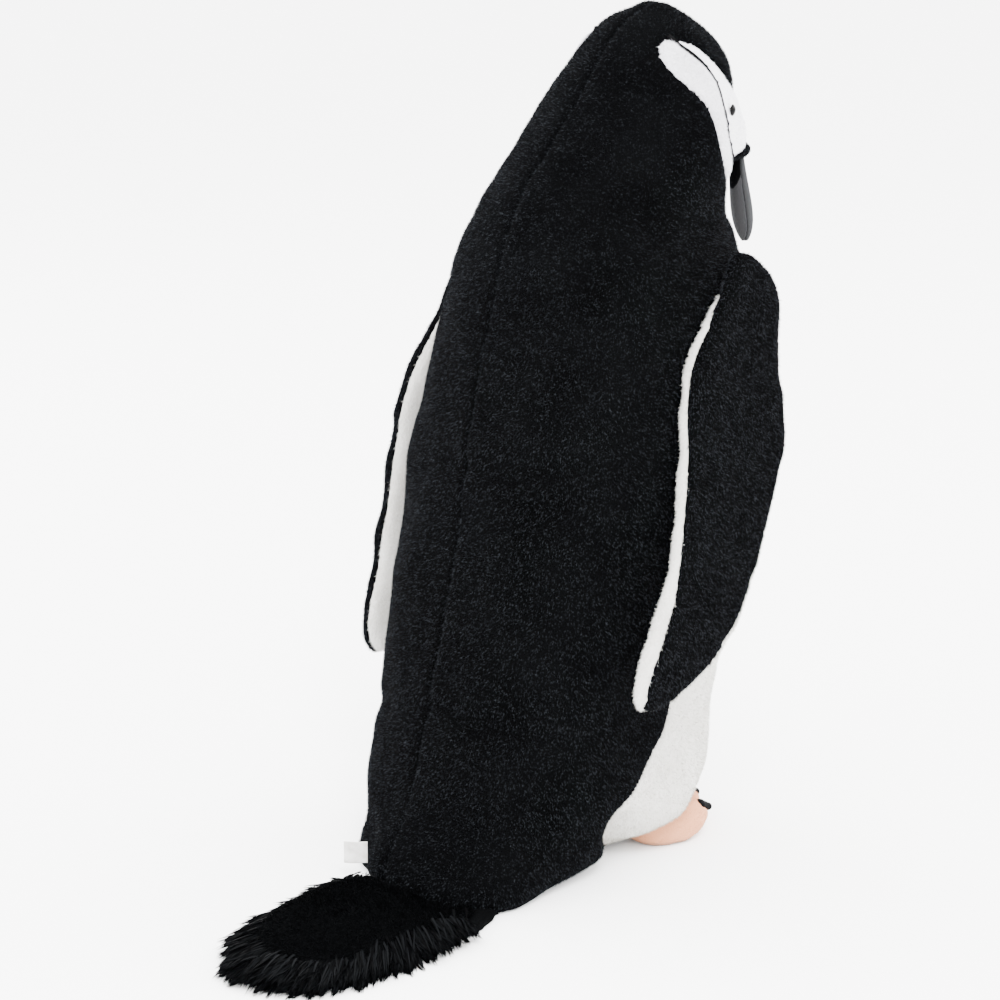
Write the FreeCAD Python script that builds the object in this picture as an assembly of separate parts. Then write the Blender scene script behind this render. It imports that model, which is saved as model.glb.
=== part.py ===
import FreeCAD, Part
import math
import os

# A life-size plush penguin that stands on a flat base, leans forward and bows its head.
# Frame: millimetres, +Z up, the origin on the floor under the middle of the base.
# The penguin faces -Y, so its right side is -X. Plush parts are sewn skins over stuffing.

os.makedirs("parts", exist_ok=True)
Vector = FreeCAD.Vector

# ---- Driving dimensions -------------------------------------------------------------
SKIN = 4.0                # plush fabric with its pile
WIDE = 400.0              # longer than the whole body is wide
FRONT = -300.0            # well in front of the penguin
TOP = 760.0               # well above it
BELOW = -10.0             # just under the floor
SECTION_POINTS = 20       # points round one body section
# A stuffed blade's face: how far in from its edge, and the share of its height reached there.
DOME_STEPS = [(0.0, 0.0), (2.0, 0.55), (8.0, 0.92), (13.0, 1.0)]

# Body sections: height, half width, back, widest place, front, and how square the section
# is behind and in front of its widest place (2 is an ellipse, less is more pointed).
BODY_SECTIONS = [
    (0.0, 99.0, 174.0, 96.0, -108.0, 2.8, 1.35),
    (20.0, 106.0, 172.0, 62.0, -142.0, 2.6, 1.75),
    (40.0, 112.0, 162.0, 56.0, -164.0, 2.3, 2.2),
    (70.0, 119.0, 147.0, 50.0, -178.0, 2.1, 2.2),
    (130.0, 126.0, 128.0, 36.0, -184.0, 2.0, 2.0),
    (200.0, 131.0, 112.0, 26.0, -201.0, 2.0, 2.0),
    (280.0, 132.0, 96.0, 12.0, -220.0, 2.0, 2.0),
    (360.0, 132.0, 79.0, -4.0, -226.0, 2.0, 2.0),
    (430.0, 127.0, 66.0, -24.0, -219.0, 2.0, 2.0),
    (490.0, 119.0, 50.0, -36.0, -207.0, 2.0, 2.0),
    (540.0, 106.0, 33.0, -54.0, -195.0, 2.0, 2.0),
    (574.0, 98.0, 16.0, -80.0, -192.0, 2.0, 2.0),
    (602.0, 93.0, -8.0, -98.0, -218.0, 2.0, 2.0),
    (632.0, 86.0, -34.0, -110.0, -216.0, 2.0, 2.0),
    (662.0, 74.0, -58.0, -117.0, -204.0, 2.0, 2.0),
    (690.0, 56.0, -81.0, -123.0, -189.0, 2.0, 2.0),
    (709.0, 34.0, -104.0, -129.0, -168.0, 2.0, 2.0),
    (720.0, 10.0, -126.0, -133.0, -143.0, 2.0, 2.0),
]

# The stuffing's own last section: it ends lower than the skin over it.
FILLING_CROWN = (710.0, 24.0, -111.0, -131.0, -160.0, 2.0, 2.0)

# Side-view outlines as (y, z). Each one cuts its panels out of the skin.
WHITE_EDGE = [
    (-22.0, 0.0), (0.0, 24.0), (12.0, 46.0), (-16.0, 89.0), (-40.0, 122.0), (-52.0, 180.0), (-76.0, 270.0),
    (-112.0, 360.0), (-150.0, 440.0), (-171.0, 500.0), (-168.0, 548.0), (-143.0, 578.0),
]
CHEEK_EDGE = [
    (-143.0, 578.0), (-126.0, 606.0), (-122.0, 638.0), (-103.0, 662.0), (-94.0, 680.0),
    (-103.0, 694.0), (-120.0, 694.0), (-146.0, 678.0), (-166.0, 660.0), (-186.0, 646.0),
    (-230.0, 638.0),
]
STRAP_LINE = [
    (-106.0, 705.0), (-113.0, 692.0), (-129.0, 676.0), (-139.0, 656.0), (-141.0, 636.0),
    (-140.0, 612.0), (-150.0, 586.0), (-184.0, 566.0), (-230.0, 560.0),
]
THROAT_HEIGHT = 578.0     # the belly panel ends and the cheeks start here
STRAP_WIDTH = 3.0

# Beak: hangs from the front of the bowed face.
BEAK_BASE_CENTRE = (-227.0, 587.0)
BEAK_BASE_RADII = (16.0, 23.0, 9.5)
BEAK_SECTIONS = [
    # height, half width, front, back
    (584.0, 6.5, -244.0, -230.0),
    (562.0, 7.5, -249.0, -232.0),
    (534.0, 9.0, -256.0, -235.0),
    (514.0, 7.0, -257.0, -241.0),
    (504.0, 2.5, -254.0, -247.0),
]
MOUTH_GAP = 0.4
MOUTH_BACK_SHARE = 0.36   # share of the beak's depth that the lower beak takes
MOUTH_OVERRUN = 10.0      # the mouth cut runs past both ends of the beak by this
BEAK_POINTS = 12          # points round one beak section

# Eyes: domed studs through the face panels, held by washers inside.
EYE_HEIGHT = 636.0
EYE_Y = -151.0
EYE_RADIUS = 6.5
EYE_STAND_PROUD = 3.0
EYE_SEAT = 0.6            # the dome's flat back is this far above the fabric
SHANK_SEAT = 1.0          # the shank starts this far above the fabric, inside the dome
SHANK_RADIUS = 2.0
SHANK_LENGTH = 18.0
WASHER_RADIUS = 8.0
WASHER_THICKNESS = 2.0
WASHER_GAP = 2.6          # between the fabric's inner face and the washer

# Flippers: flat stuffed blades on the shoulder seams. Outline as (forward, down the blade).
FLIPPER_OUTLINE = [
    (4.0, -6.0), (46.0, 1.0), (79.0, 42.0), (103.0, 112.0), (104.0, 172.0), (97.0, 222.0),
    (67.0, 308.0), (26.0, 362.0), (-8.0, 376.0), (-28.0, 352.0), (-20.0, 292.0), (-13.0, 215.0),
    (-20.0, 120.0), (-10.0, 68.0), (-2.0, 38.0),
]
FLIPPER_HALF_THICKNESS = 10.0
FLIPPER_GAP = 1.0         # between a blade and the body, over the whole travel
FLIPPER_TWIST = 7.0       # the front edge turns in towards the chest
# Shoulder point, how far the blade leans back, and how far it stands off the body, in degrees.
FLIPPER_LEFT = ((128.0, -18.0, 506.0), 6.0, 7.5)
FLIPPER_RIGHT = ((120.0, -102.0, 521.0), 20.0, 9.5)

# Feet: flat webbed feet under the front of the belly. Outline of the right foot as (x, y).
FOOT_OUTLINE = [
    (-68.0, -54.0), (-88.0, -66.0), (-97.0, -94.0), (-96.0, -118.0), (-84.0, -131.0),
    (-72.0, -132.0), (-62.0, -146.0), (-50.0, -150.0), (-40.0, -141.0), (-28.0, -139.0),
    (-17.0, -128.0), (-22.0, -104.0), (-44.0, -64.0),
]
FOOT_HEIGHT = 32.0
FOOT_GAP = 5.0
# The foot's side as (inset, share of the height): rounded under, then domed.
FOOT_STEPS = [(8.0, 0.0), (3.0, 0.1), (0.0, 0.35), (5.0, 0.78), (13.0, 1.0)]
SOLE_THICKNESS = 3.0
# Outer and middle toe tip of the right foot: x, y and how far the claw turns outwards. The inner
# toe stays under the belly.
TOE_TIPS = [(-82.0, -121.0, -14.0), (-50.0, -139.0, -4.0)]
CLAW_LENGTH = 9.0
CLAW_RADIUS = 6.0
CLAW_TIP_RADIUS = 3.5
CLAW_PITCH = 105.0        # turned from straight up to forward and a little down
CLAW_SHARE = 0.78         # the claws sit at this share of the foot's height

# Tail: a flat stuffed tail with a long-pile border. Outline as (x, y).
TAIL_OUTLINE = [
    (-55.0, 140.0), (-100.0, 136.0), (-120.0, 168.0), (-128.0, 230.0), (-130.0, 300.0),
    (-116.0, 342.0), (-76.0, 362.0), (-34.0, 352.0), (-6.0, 312.0), (8.0, 250.0),
    (12.0, 190.0), (-8.0, 152.0),
]
TAIL_HEIGHT = 36.0
TAIL_MIDDLE = (-59.0, 254.0)
TAIL_MIDDLE_SHARE = 0.80  # the short-pile centre, as a share of the whole tail
TAIL_ROOT_GAP = 4.0       # between the tail's root and the body, so that it can swing
TAIL_ROOT_Y = 168.0
TAIL_ROOT_LENGTH = 58.0
TAIL_ROOT_HEIGHT = 9.0
TAIL_CUT_REACH = 80.0     # the root's slope is cut from this far inside the body
TAIL_CUT_RISE = 2.0       # to this far above the tail's top
TAIL_CORE_STEP = 0.06     # the filling's outline is smaller than the centre's by this share
UNDERSIDE_THICKNESS = 3.0

# Pellet bag in the bottom of the body.
PELLET_TOP = 62.0
PELLET_INSET = 26.0
PELLET_FLOOR_GAP = 1.0    # between the base panel and the bag

# Blank label: stands out from the base seam left of the tail.
LABEL_HEIGHT = 19.0
LABEL_LENGTH = 20.0
LABEL_THICKNESS = 1.0
LABEL_ROOT = (35.5, 172.5, 15.0)
LABEL_TURN = 48.0


# ---- Helpers ------------------------------------------------------------------------
def closed_wire(points):
    """A smooth closed wire through the points."""
    curve = Part.BSplineCurve()
    curve.interpolate(Points=points, PeriodicFlag=True)
    return Part.Wire([curve.toShape()])


def loft(wires):
    """A closed smooth solid through the wires."""
    return Part.makeLoft(wires, True, False)


def box(x0, x1, y0, y1, z0, z1):
    """A box between two values on each axis."""
    return Part.makeBox(x1 - x0, y1 - y0, z1 - z0, Vector(x0, y0, z0))


def mirrored(shape):
    """The same shape on the penguin's other side."""
    return shape.mirror(Vector(0, 0, 0), Vector(1, 0, 0))


def signed_power(value, power):
    """The value's size to a power, with its own sign."""
    return math.copysign(abs(value) ** power, value)


def export(name, *shapes):
    """Write the shapes as one node."""
    solids = []
    for shape in shapes:
        solids.extend(shape.Solids)
    body = solids[0] if len(solids) == 1 else Part.makeCompound(solids)
    body.exportStep("parts/" + name + ".step")


# ---- Body form ----------------------------------------------------------------------
def body_wire(section, inset, height):
    """One horizontal section of the body: two half superellipses that meet at the widest place."""
    _, half_width, back, widest, front, square_back, square_front = section
    half_width = half_width - inset
    points = []
    for step in range(SECTION_POINTS):
        angle = 2.0 * math.pi * step / SECTION_POINTS
        behind = math.cos(angle) > 0
        reach = (back - inset - widest) if behind else (widest - front - inset)
        power = 2.0 / (square_back if behind else square_front)
        x = half_width * signed_power(math.sin(angle), power)
        y = widest + reach * signed_power(math.cos(angle), power)
        points.append(Vector(x, y, height))
    return closed_wire(points)


def body_form(inset, floor, sections):
    """The body inside its own surface by inset, starting at the height floor."""
    wires = [body_wire(sections[0], inset, floor)]
    for section in sections[1:-1]:
        wires.append(body_wire(section, inset, section[0]))
    wires.append(body_wire(sections[-1], inset, sections[-1][0] - inset))
    return loft(wires)


def side_prism(edge, closing):
    """Everything inside a side-view outline: a smooth edge closed by straight runs, across the body."""
    curve = Part.BSplineCurve()
    curve.interpolate([Vector(-WIDE, y, z) for y, z in edge])
    edges = [curve.toShape()]
    corners = [edge[-1]] + closing + [edge[0]]
    for start, end in zip(corners[:-1], corners[1:]):
        edges.append(Part.makeLine(Vector(-WIDE, *start), Vector(-WIDE, *end)))
    return Part.Face(Part.Wire(edges)).extrude(Vector(2.0 * WIDE, 0, 0))


outer = body_form(0.0, 0.0, BODY_SECTIONS)
inner = body_form(SKIN, SKIN, BODY_SECTIONS[:-2] + [FILLING_CROWN])
skin = outer.cut(inner)
base_slab = box(-WIDE, WIDE, -WIDE, WIDE, 0.0, SKIN)
base_panel = outer.common(base_slab)
upper_skin = skin.cut(base_slab)

belly_prism = side_prism(WHITE_EDGE, [(FRONT, THROAT_HEIGHT), (FRONT, 0.0)])
face_prism = side_prism(CHEEK_EDGE, [(FRONT, CHEEK_EDGE[-1][1]), (FRONT, THROAT_HEIGHT)])


def strap_side(offset):
    """Everything in front of the strap line, moved back by offset."""
    edge = [(y + offset, z) for y, z in STRAP_LINE]
    return side_prism(edge, [(FRONT, STRAP_LINE[-1][1]), (FRONT, TOP), (edge[0][0], TOP)])


white_head = upper_skin.common(face_prism)
before_strap = strap_side(-STRAP_WIDTH / 2.0)
before_cheek = strap_side(STRAP_WIDTH / 2.0)
face_skin = white_head.common(before_strap)
strap_skin = white_head.common(before_cheek).cut(before_strap)
cheek_skin = white_head.cut(before_cheek)
belly_panel = upper_skin.common(belly_prism)
black_skin = upper_skin.cut(belly_prism).cut(face_prism)

left_half = box(0.0, WIDE, -WIDE, WIDE, BELOW, TOP)
right_half = box(-WIDE, 0.0, -WIDE, WIDE, BELOW, TOP)


# ---- Eyes ---------------------------------------------------------------------------
def section_x(height, y):
    """Half width of the front of the body at a height and a y, between the nearest sections."""
    for low, high in zip(BODY_SECTIONS[:-1], BODY_SECTIONS[1:]):
        if low[0] <= height <= high[0]:
            share = (height - low[0]) / (high[0] - low[0])
            mix = [a + (b - a) * share for a, b in zip(low, high)]
            share_forward = (mix[3] - y) / (mix[3] - mix[4])
            return mix[1] * (1.0 - share_forward ** mix[6]) ** (1.0 / mix[6])
    return 0.0


def left_eye():
    """The left eye and the washer on its shank."""
    surface = Vector(section_x(EYE_HEIGHT, EYE_Y), EYE_Y, EYE_HEIGHT)
    ahead_y = EYE_Y - EYE_RADIUS
    ahead = Vector(section_x(EYE_HEIGHT, ahead_y), ahead_y, EYE_HEIGHT)
    along = ahead - surface
    normal = Vector(-along.y, along.x, 0.0)
    normal.normalize()
    dome_centre = surface + normal * (EYE_STAND_PROUD - EYE_RADIUS)
    outside = Part.makeCylinder(EYE_RADIUS * 2.0, EYE_RADIUS * 2.0, surface + normal * EYE_SEAT, normal)
    dome = Part.makeSphere(EYE_RADIUS, dome_centre).common(outside)
    shank_start = surface + normal * SHANK_SEAT
    shank = Part.makeCylinder(SHANK_RADIUS, SHANK_LENGTH, shank_start, normal * -1.0)
    eye = dome.fuse(shank).removeSplitter()
    washer_start = surface - normal * (SKIN + WASHER_GAP)
    washer = Part.makeCylinder(WASHER_RADIUS, WASHER_THICKNESS, washer_start, normal * -1.0)
    return eye, washer.cut(shank)


eye_left, washer_left = left_eye()
eye_parts = [eye_left, washer_left, mirrored(eye_left), mirrored(washer_left)]
face_skin = face_skin.cut(eye_left).cut(mirrored(eye_left))

# ---- Stuffing and pellet bag --------------------------------------------------------
pellet_sections = [s for s in BODY_SECTIONS if s[0] < PELLET_TOP]
pellet_bag = loft([body_wire(s, PELLET_INSET, s[0] + SKIN + PELLET_FLOOR_GAP) for s in pellet_sections])
body_filling = inner.cut(pellet_bag).cut(base_slab)
for part in eye_parts:
    body_filling = body_filling.cut(part)

export("back_panel_left", black_skin.common(left_half))
export("back_panel_right", black_skin.common(right_half))
export("belly_panel", belly_panel)
export("base_panel", base_panel)
export("face_panel_left", face_skin.common(left_half))
export("face_panel_right", face_skin.common(right_half))
export("chin_strap", strap_skin)
export("cheek_panel_left", cheek_skin.common(left_half))
export("cheek_panel_right", cheek_skin.common(right_half))
export("eye_left", eye_left)
export("eye_right", mirrored(eye_left))
export("eye_washer_left", washer_left)
export("eye_washer_right", mirrored(washer_left))
export("body_filling", body_filling)
export("pellet_bag", pellet_bag)


# ---- Beak ---------------------------------------------------------------------------
def beak_form():
    """The hanging beak: a loft through its level sections."""
    wires = []
    for height, half_width, front, back in BEAK_SECTIONS:
        middle = (front + back) / 2.0
        reach = (back - front) / 2.0
        points = []
        for step in range(BEAK_POINTS):
            angle = 2.0 * math.pi * step / BEAK_POINTS
            points.append(Vector(half_width * math.sin(angle), middle + reach * math.cos(angle), height))
        wires.append(closed_wire(points))
    return loft(wires)


def mouth_prism(shift):
    """Everything in front of the mouth line, moved by shift."""
    edge = []
    for height, _, front, back in BEAK_SECTIONS:
        edge.append((back + (front - back) * MOUTH_BACK_SHARE + shift, height))
    edge[0] = (edge[0][0], edge[0][1] + MOUTH_OVERRUN)
    edge[-1] = (edge[-1][0], edge[-1][1] - MOUTH_OVERRUN)
    return side_prism(edge, [(FRONT, edge[-1][1]), (FRONT, edge[0][1])])


beak = beak_form()
base_centre = Vector(0.0, *BEAK_BASE_CENTRE)
ring = FreeCAD.Matrix()
ring.scale(*BEAK_BASE_RADII)
beak_base = Part.makeSphere(1.0).transformGeometry(ring)
beak_base.translate(base_centre)
beak_base = beak_base.cut(outer)
beak = beak.cut(beak_base).cut(outer)
beak = sorted(beak.Solids, key=lambda solid: solid.Volume)[-1]
export("beak_base", beak_base)
export("beak_upper", beak.common(mouth_prism(-MOUTH_GAP / 2.0)))
export("beak_lower", beak.cut(mouth_prism(MOUTH_GAP / 2.0)))


# ---- Flippers -----------------------------------------------------------------------
def inset_points(points, inset, lift):
    """A clockwise outline's points moved inwards by inset, at the height lift above its plane."""
    moved = []
    count = len(points)
    for index, (u, v) in enumerate(points):
        u0, v0 = points[index - 1]
        u1, v1 = points[(index + 1) % count]
        along = Vector(u1 - u0, v1 - v0, 0.0)
        along.normalize()
        moved.append(Vector(u + along.y * inset, v - along.x * inset, lift))
    return moved


def scaled_points(points, middle, share):
    """The outline shrunk towards a middle point."""
    return [(middle[0] + (u - middle[0]) * share, middle[1] + (v - middle[1]) * share) for u, v in points]


def half_pillow(points, height, edge_inset, steps):
    """One face of a stuffed shape: it rises from the outline to height over the steps."""
    wires = []
    for inset, share in steps:
        wires.append(closed_wire(inset_points(points, inset + edge_inset, height * share)))
    return loft(wires)


def clockwise(points):
    """The outline's points with the inside on their right."""
    area = 0.0
    for (u0, v0), (u1, v1) in zip(points, points[1:] + points[:1]):
        area += u0 * v1 - u1 * v0
    return points if area < 0 else points[::-1]


def flipper_parts():
    """Outer skin, inner skin and filling of a flat blade in its own plane: x forward, y down."""
    outline = clockwise(FLIPPER_OUTLINE)
    outside = half_pillow(outline, FLIPPER_HALF_THICKNESS, 0.0, DOME_STEPS)
    core = half_pillow(outline, FLIPPER_HALF_THICKNESS - SKIN, SKIN, DOME_STEPS)
    inside = outside.mirror(Vector(0, 0, 0), Vector(0, 0, 1))
    lower_core = core.mirror(Vector(0, 0, 0), Vector(0, 0, 1))
    return outside.cut(core), inside.cut(lower_core), core.fuse(lower_core)


def place_flipper(shape, shoulder, sweep, spread):
    """Put a blade on the left shoulder: local x to the front, local y down, local z outwards."""
    placed = shape.copy()
    upright = FreeCAD.Matrix(
        0, 0, 1, 0,
        -1, 0, 0, 0,
        0, -1, 0, 0,
        0, 0, 0, 1)
    placed = placed.transformGeometry(upright)
    placed.rotate(Vector(0, 0, 0), Vector(0, 0, 1), -FLIPPER_TWIST)
    placed.rotate(Vector(0, 0, 0), Vector(1, 0, 0), sweep)
    placed.rotate(Vector(0, 0, 0), Vector(0, 1, 0), -spread)
    placed.translate(Vector(*shoulder))
    return placed


flipper_room = body_form(-FLIPPER_GAP, 0.0, BODY_SECTIONS)
flipper_names = ["outer", "inner", "filling"]
for name, shape in zip(flipper_names, flipper_parts()):
    left_blade = place_flipper(shape, *FLIPPER_LEFT).cut(flipper_room)
    right_blade = place_flipper(shape, *FLIPPER_RIGHT).cut(flipper_room)
    export("flipper_left_" + name, left_blade)
    export("flipper_right_" + name, mirrored(right_blade))


# ---- Feet ---------------------------------------------------------------------------
def claw(tip_x, tip_y, turn):
    """A blunt claw on a toe tip: a cone with round ends that points forward and a little down."""
    cone = Part.makeCone(CLAW_RADIUS, CLAW_TIP_RADIUS, CLAW_LENGTH)
    cone = cone.fuse(Part.makeSphere(CLAW_RADIUS))
    cone = cone.fuse(Part.makeSphere(CLAW_TIP_RADIUS, Vector(0, 0, CLAW_LENGTH)))
    cone.rotate(Vector(0, 0, 0), Vector(1, 0, 0), CLAW_PITCH)
    cone.rotate(Vector(0, 0, 0), Vector(0, 0, 1), turn)
    cone.translate(Vector(tip_x, tip_y, FOOT_HEIGHT * CLAW_SHARE))
    return cone


def right_foot():
    """Upper, sole, filling and claws of the right foot, clear of the body over it."""
    outline = clockwise(FOOT_OUTLINE)
    whole = half_pillow(outline, FOOT_HEIGHT, 0.0, FOOT_STEPS)
    core = half_pillow(outline, FOOT_HEIGHT - SKIN, SKIN, FOOT_STEPS)
    body_room = body_form(-FOOT_GAP, 0.0, BODY_SECTIONS)
    whole = whole.cut(body_room)
    sole_slab = box(-WIDE, WIDE, -WIDE, WIDE, 0.0, SOLE_THICKNESS)
    sole = whole.common(sole_slab)
    upper = whole.cut(sole_slab)
    core_room = body_form(-FOOT_GAP - SKIN, 0.0, BODY_SECTIONS)
    core = core.cut(core_room).cut(sole_slab)
    claws = [claw(*tip).cut(body_room) for tip in TOE_TIPS]
    upper = upper.cut(core)
    for nail in claws:
        upper = upper.cut(nail)
        core = core.cut(nail)
    return upper, sole, core, claws


foot_upper, foot_sole, foot_filling, foot_claws = right_foot()
export("foot_right_upper", foot_upper)
export("foot_right_sole", foot_sole)
export("foot_right_filling", foot_filling)
export("foot_right_claws", *foot_claws)
export("foot_left_upper", mirrored(foot_upper))
export("foot_left_sole", mirrored(foot_sole))
export("foot_left_filling", mirrored(foot_filling))
export("foot_left_claws", *[mirrored(nail) for nail in foot_claws])


# ---- Tail ---------------------------------------------------------------------------
def tail_parts():
    """Long-pile border, short-pile centre, underside and filling of the tail."""
    outline = clockwise(TAIL_OUTLINE)
    whole = half_pillow(outline, TAIL_HEIGHT, 0.0, DOME_STEPS)
    cut_start = TAIL_ROOT_Y - TAIL_CUT_REACH
    cut_top = TAIL_HEIGHT + TAIL_CUT_RISE
    root_cut = Part.Face(Part.makePolygon([
        Vector(-WIDE, cut_start, TAIL_ROOT_HEIGHT),
        Vector(-WIDE, TAIL_ROOT_Y, TAIL_ROOT_HEIGHT),
        Vector(-WIDE, TAIL_ROOT_Y + TAIL_ROOT_LENGTH, cut_top),
        Vector(-WIDE, cut_start, cut_top),
        Vector(-WIDE, cut_start, TAIL_ROOT_HEIGHT),
    ])).extrude(Vector(2.0 * WIDE, 0, 0))
    whole = whole.cut(root_cut).cut(body_form(-TAIL_ROOT_GAP, 0.0, BODY_SECTIONS))
    under_slab = box(-WIDE, WIDE, -WIDE, WIDE, 0.0, UNDERSIDE_THICKNESS)
    underside = whole.common(under_slab)
    above = whole.cut(under_slab)
    middle_outline = scaled_points(outline, TAIL_MIDDLE, TAIL_MIDDLE_SHARE)
    middle = Part.Face(closed_wire([Vector(x, y, 0.0) for x, y in middle_outline]))
    middle = middle.extrude(Vector(0, 0, cut_top))
    border = above.cut(middle)
    centre = above.common(middle)
    core_outline = scaled_points(outline, TAIL_MIDDLE, TAIL_MIDDLE_SHARE - TAIL_CORE_STEP)
    core = half_pillow(core_outline, TAIL_HEIGHT - SKIN, 0.0, DOME_STEPS)
    core = core.cut(body_form(-TAIL_ROOT_GAP - SKIN, 0.0, BODY_SECTIONS))
    root_cut.translate(Vector(0, 0, -SKIN))
    core = core.cut(root_cut).cut(under_slab)
    return border, centre.cut(core), underside, core


for name, shape in zip(["border", "centre", "underside", "filling"], tail_parts()):
    export("tail_" + name, shape)

# ---- Label --------------------------------------------------------------------------
label = box(0.0, LABEL_LENGTH, 0.0, LABEL_THICKNESS, 0.0, LABEL_HEIGHT)
label.rotate(Vector(0, 0, 0), Vector(0, 0, 1), LABEL_TURN)
label.translate(Vector(*LABEL_ROOT))
export("sewn_label", label)
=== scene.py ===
import math

import bpy
import numpy as np
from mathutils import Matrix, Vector
from mathutils.bvhtree import BVHTree


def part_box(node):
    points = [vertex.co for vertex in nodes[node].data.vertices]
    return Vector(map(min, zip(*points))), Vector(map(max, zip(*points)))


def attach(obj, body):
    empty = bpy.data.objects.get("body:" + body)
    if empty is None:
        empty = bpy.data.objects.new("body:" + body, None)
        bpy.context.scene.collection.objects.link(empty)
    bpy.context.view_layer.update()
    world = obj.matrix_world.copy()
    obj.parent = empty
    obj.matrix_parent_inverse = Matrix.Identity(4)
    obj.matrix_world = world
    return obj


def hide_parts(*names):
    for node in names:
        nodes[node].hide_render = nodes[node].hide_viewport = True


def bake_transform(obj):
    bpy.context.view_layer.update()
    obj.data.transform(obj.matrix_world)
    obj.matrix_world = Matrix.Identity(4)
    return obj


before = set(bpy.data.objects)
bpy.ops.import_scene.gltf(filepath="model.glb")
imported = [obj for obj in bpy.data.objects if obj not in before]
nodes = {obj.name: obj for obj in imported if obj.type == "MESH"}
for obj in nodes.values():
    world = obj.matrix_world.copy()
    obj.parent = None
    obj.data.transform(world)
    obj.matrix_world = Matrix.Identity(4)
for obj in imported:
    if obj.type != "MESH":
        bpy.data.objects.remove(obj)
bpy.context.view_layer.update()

# A large plush penguin: sewn plush panels over stuffing, most panels with their own pile of tapered fibres.
# Metres, +Z up, the penguin faces -Y, in the frame of the imported model.

rng = np.random.default_rng(20)
UP = np.array([0.0, 0.0, 1.0])


# ---- Camera, floor and light ----------------------------------------------------------
CAMERA_PLACE = (-1.7835, 1.6059, 0.95)
CAMERA_AIM = (0.71802, -0.64651, -0.25781)
CAMERA_LENS = 104.97
CAMERA_SHIFT = -0.0357

camera_data = bpy.data.cameras.new("camera")
camera_data.lens = CAMERA_LENS
camera_data.sensor_width = 36.0
camera_data.shift_x = CAMERA_SHIFT
camera_data.clip_end = 60.0
camera = bpy.data.objects.new("camera", camera_data)
camera.location = CAMERA_PLACE
camera.rotation_euler = Vector(CAMERA_AIM).to_track_quat("-Z", "Y").to_euler()
bpy.context.collection.objects.link(camera)
bpy.context.scene.camera = camera


def new_material(name):
    """An empty node material: (material, node adder, link maker)."""
    material = bpy.data.materials.new(name)
    material.use_nodes = True
    tree = material.node_tree
    tree.nodes.clear()

    def add(kind, **settings):
        node = tree.nodes.new(kind)
        for key, value in settings.items():
            if hasattr(node, key):
                setattr(node, key, value)
            else:
                node.inputs[key.replace("_", " ")].default_value = value
        return node

    return material, add, tree.links.new


def area_light(name, place, aim, size, power, colour=(1.0, 1.0, 1.0)):
    data = bpy.data.lights.new(name, "AREA")
    data.shape = "DISK"
    data.size = size
    data.energy = power
    data.color = colour
    light = bpy.data.objects.new(name, data)
    light.location = place
    light.rotation_euler = (Vector(aim) - Vector(place)).to_track_quat("-Z", "Y").to_euler()
    bpy.context.collection.objects.link(light)


BODY_MIDDLE = (0.0, -0.02, 0.36)
area_light("key", (-2.2, 1.4, 3.2), BODY_MIDDLE, 1.4, 330.0)
area_light("fill", (0.4, 3.0, 1.4), BODY_MIDDLE, 2.0, 60.0)
area_light("front_fill", (-1.0, -3.0, 1.8), BODY_MIDDLE, 2.0, 120.0)
area_light("side_fill", (2.8, 0.2, 2.0), BODY_MIDDLE, 1.8, 90.0)

world = bpy.data.worlds.new("studio")
world.use_nodes = True
world.node_tree.nodes["Background"].inputs["Color"].default_value = (1.0, 1.0, 1.0, 1.0)
world.node_tree.nodes["Background"].inputs["Strength"].default_value = 7.5
bpy.context.scene.world = world


# ---- Mesh helpers -----------------------------------------------------------------------
def unit(v):
    """Rows of v at length one."""
    return v / np.maximum(np.linalg.norm(v, axis=-1, keepdims=True), 1e-12)


def mesh_object(name, points, faces, materials=(), face_materials=None, smooth=True):
    """A new object with a mesh of rows of faces, all with as many corners."""
    faces = np.asarray(faces, dtype=np.int32)
    count, corners = faces.shape
    mesh = bpy.data.meshes.new(name)
    mesh.vertices.add(len(points))
    mesh.vertices.foreach_set("co", np.asarray(points, dtype=np.float32).ravel())
    mesh.loops.add(count * corners)
    mesh.loops.foreach_set("vertex_index", faces.ravel())
    mesh.polygons.add(count)
    mesh.polygons.foreach_set("loop_start", np.arange(count, dtype=np.int32) * corners)
    for material in materials:
        mesh.materials.append(material)
    if face_materials is not None:
        mesh.polygons.foreach_set("material_index", np.asarray(face_materials, dtype=np.int32))
    mesh.polygons.foreach_set("use_smooth", np.full(count, smooth))
    mesh.update(calc_edges=True)
    obj = bpy.data.objects.new(name, mesh)
    bpy.context.collection.objects.link(obj)
    return obj


def points_of(mesh):
    points = np.empty(len(mesh.vertices) * 3, dtype=np.float32)
    mesh.vertices.foreach_get("co", points)
    return points.reshape(-1, 3).astype(float)


def quads_of(mesh):
    """Corner numbers of every face; a triangle repeats its last corner."""
    rows = np.empty((len(mesh.polygons), 4), dtype=np.int64)
    starts = np.empty(len(mesh.polygons), dtype=np.int32)
    totals = np.empty(len(mesh.polygons), dtype=np.int32)
    corners = np.empty(len(mesh.loops), dtype=np.int32)
    mesh.polygons.foreach_get("loop_start", starts)
    mesh.polygons.foreach_get("loop_total", totals)
    mesh.loops.foreach_get("vertex_index", corners)
    for corner in range(4):
        rows[:, corner] = corners[starts + np.minimum(corner, totals - 1)]
    return rows


def vertex_normals(points, quads):
    normals = np.zeros_like(points)
    across = np.cross(points[quads[:, 2]] - points[quads[:, 0]], points[quads[:, 3]] - points[quads[:, 1]])
    for corner in range(4):
        np.add.at(normals, quads[:, corner], across)
    return unit(normals)


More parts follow.
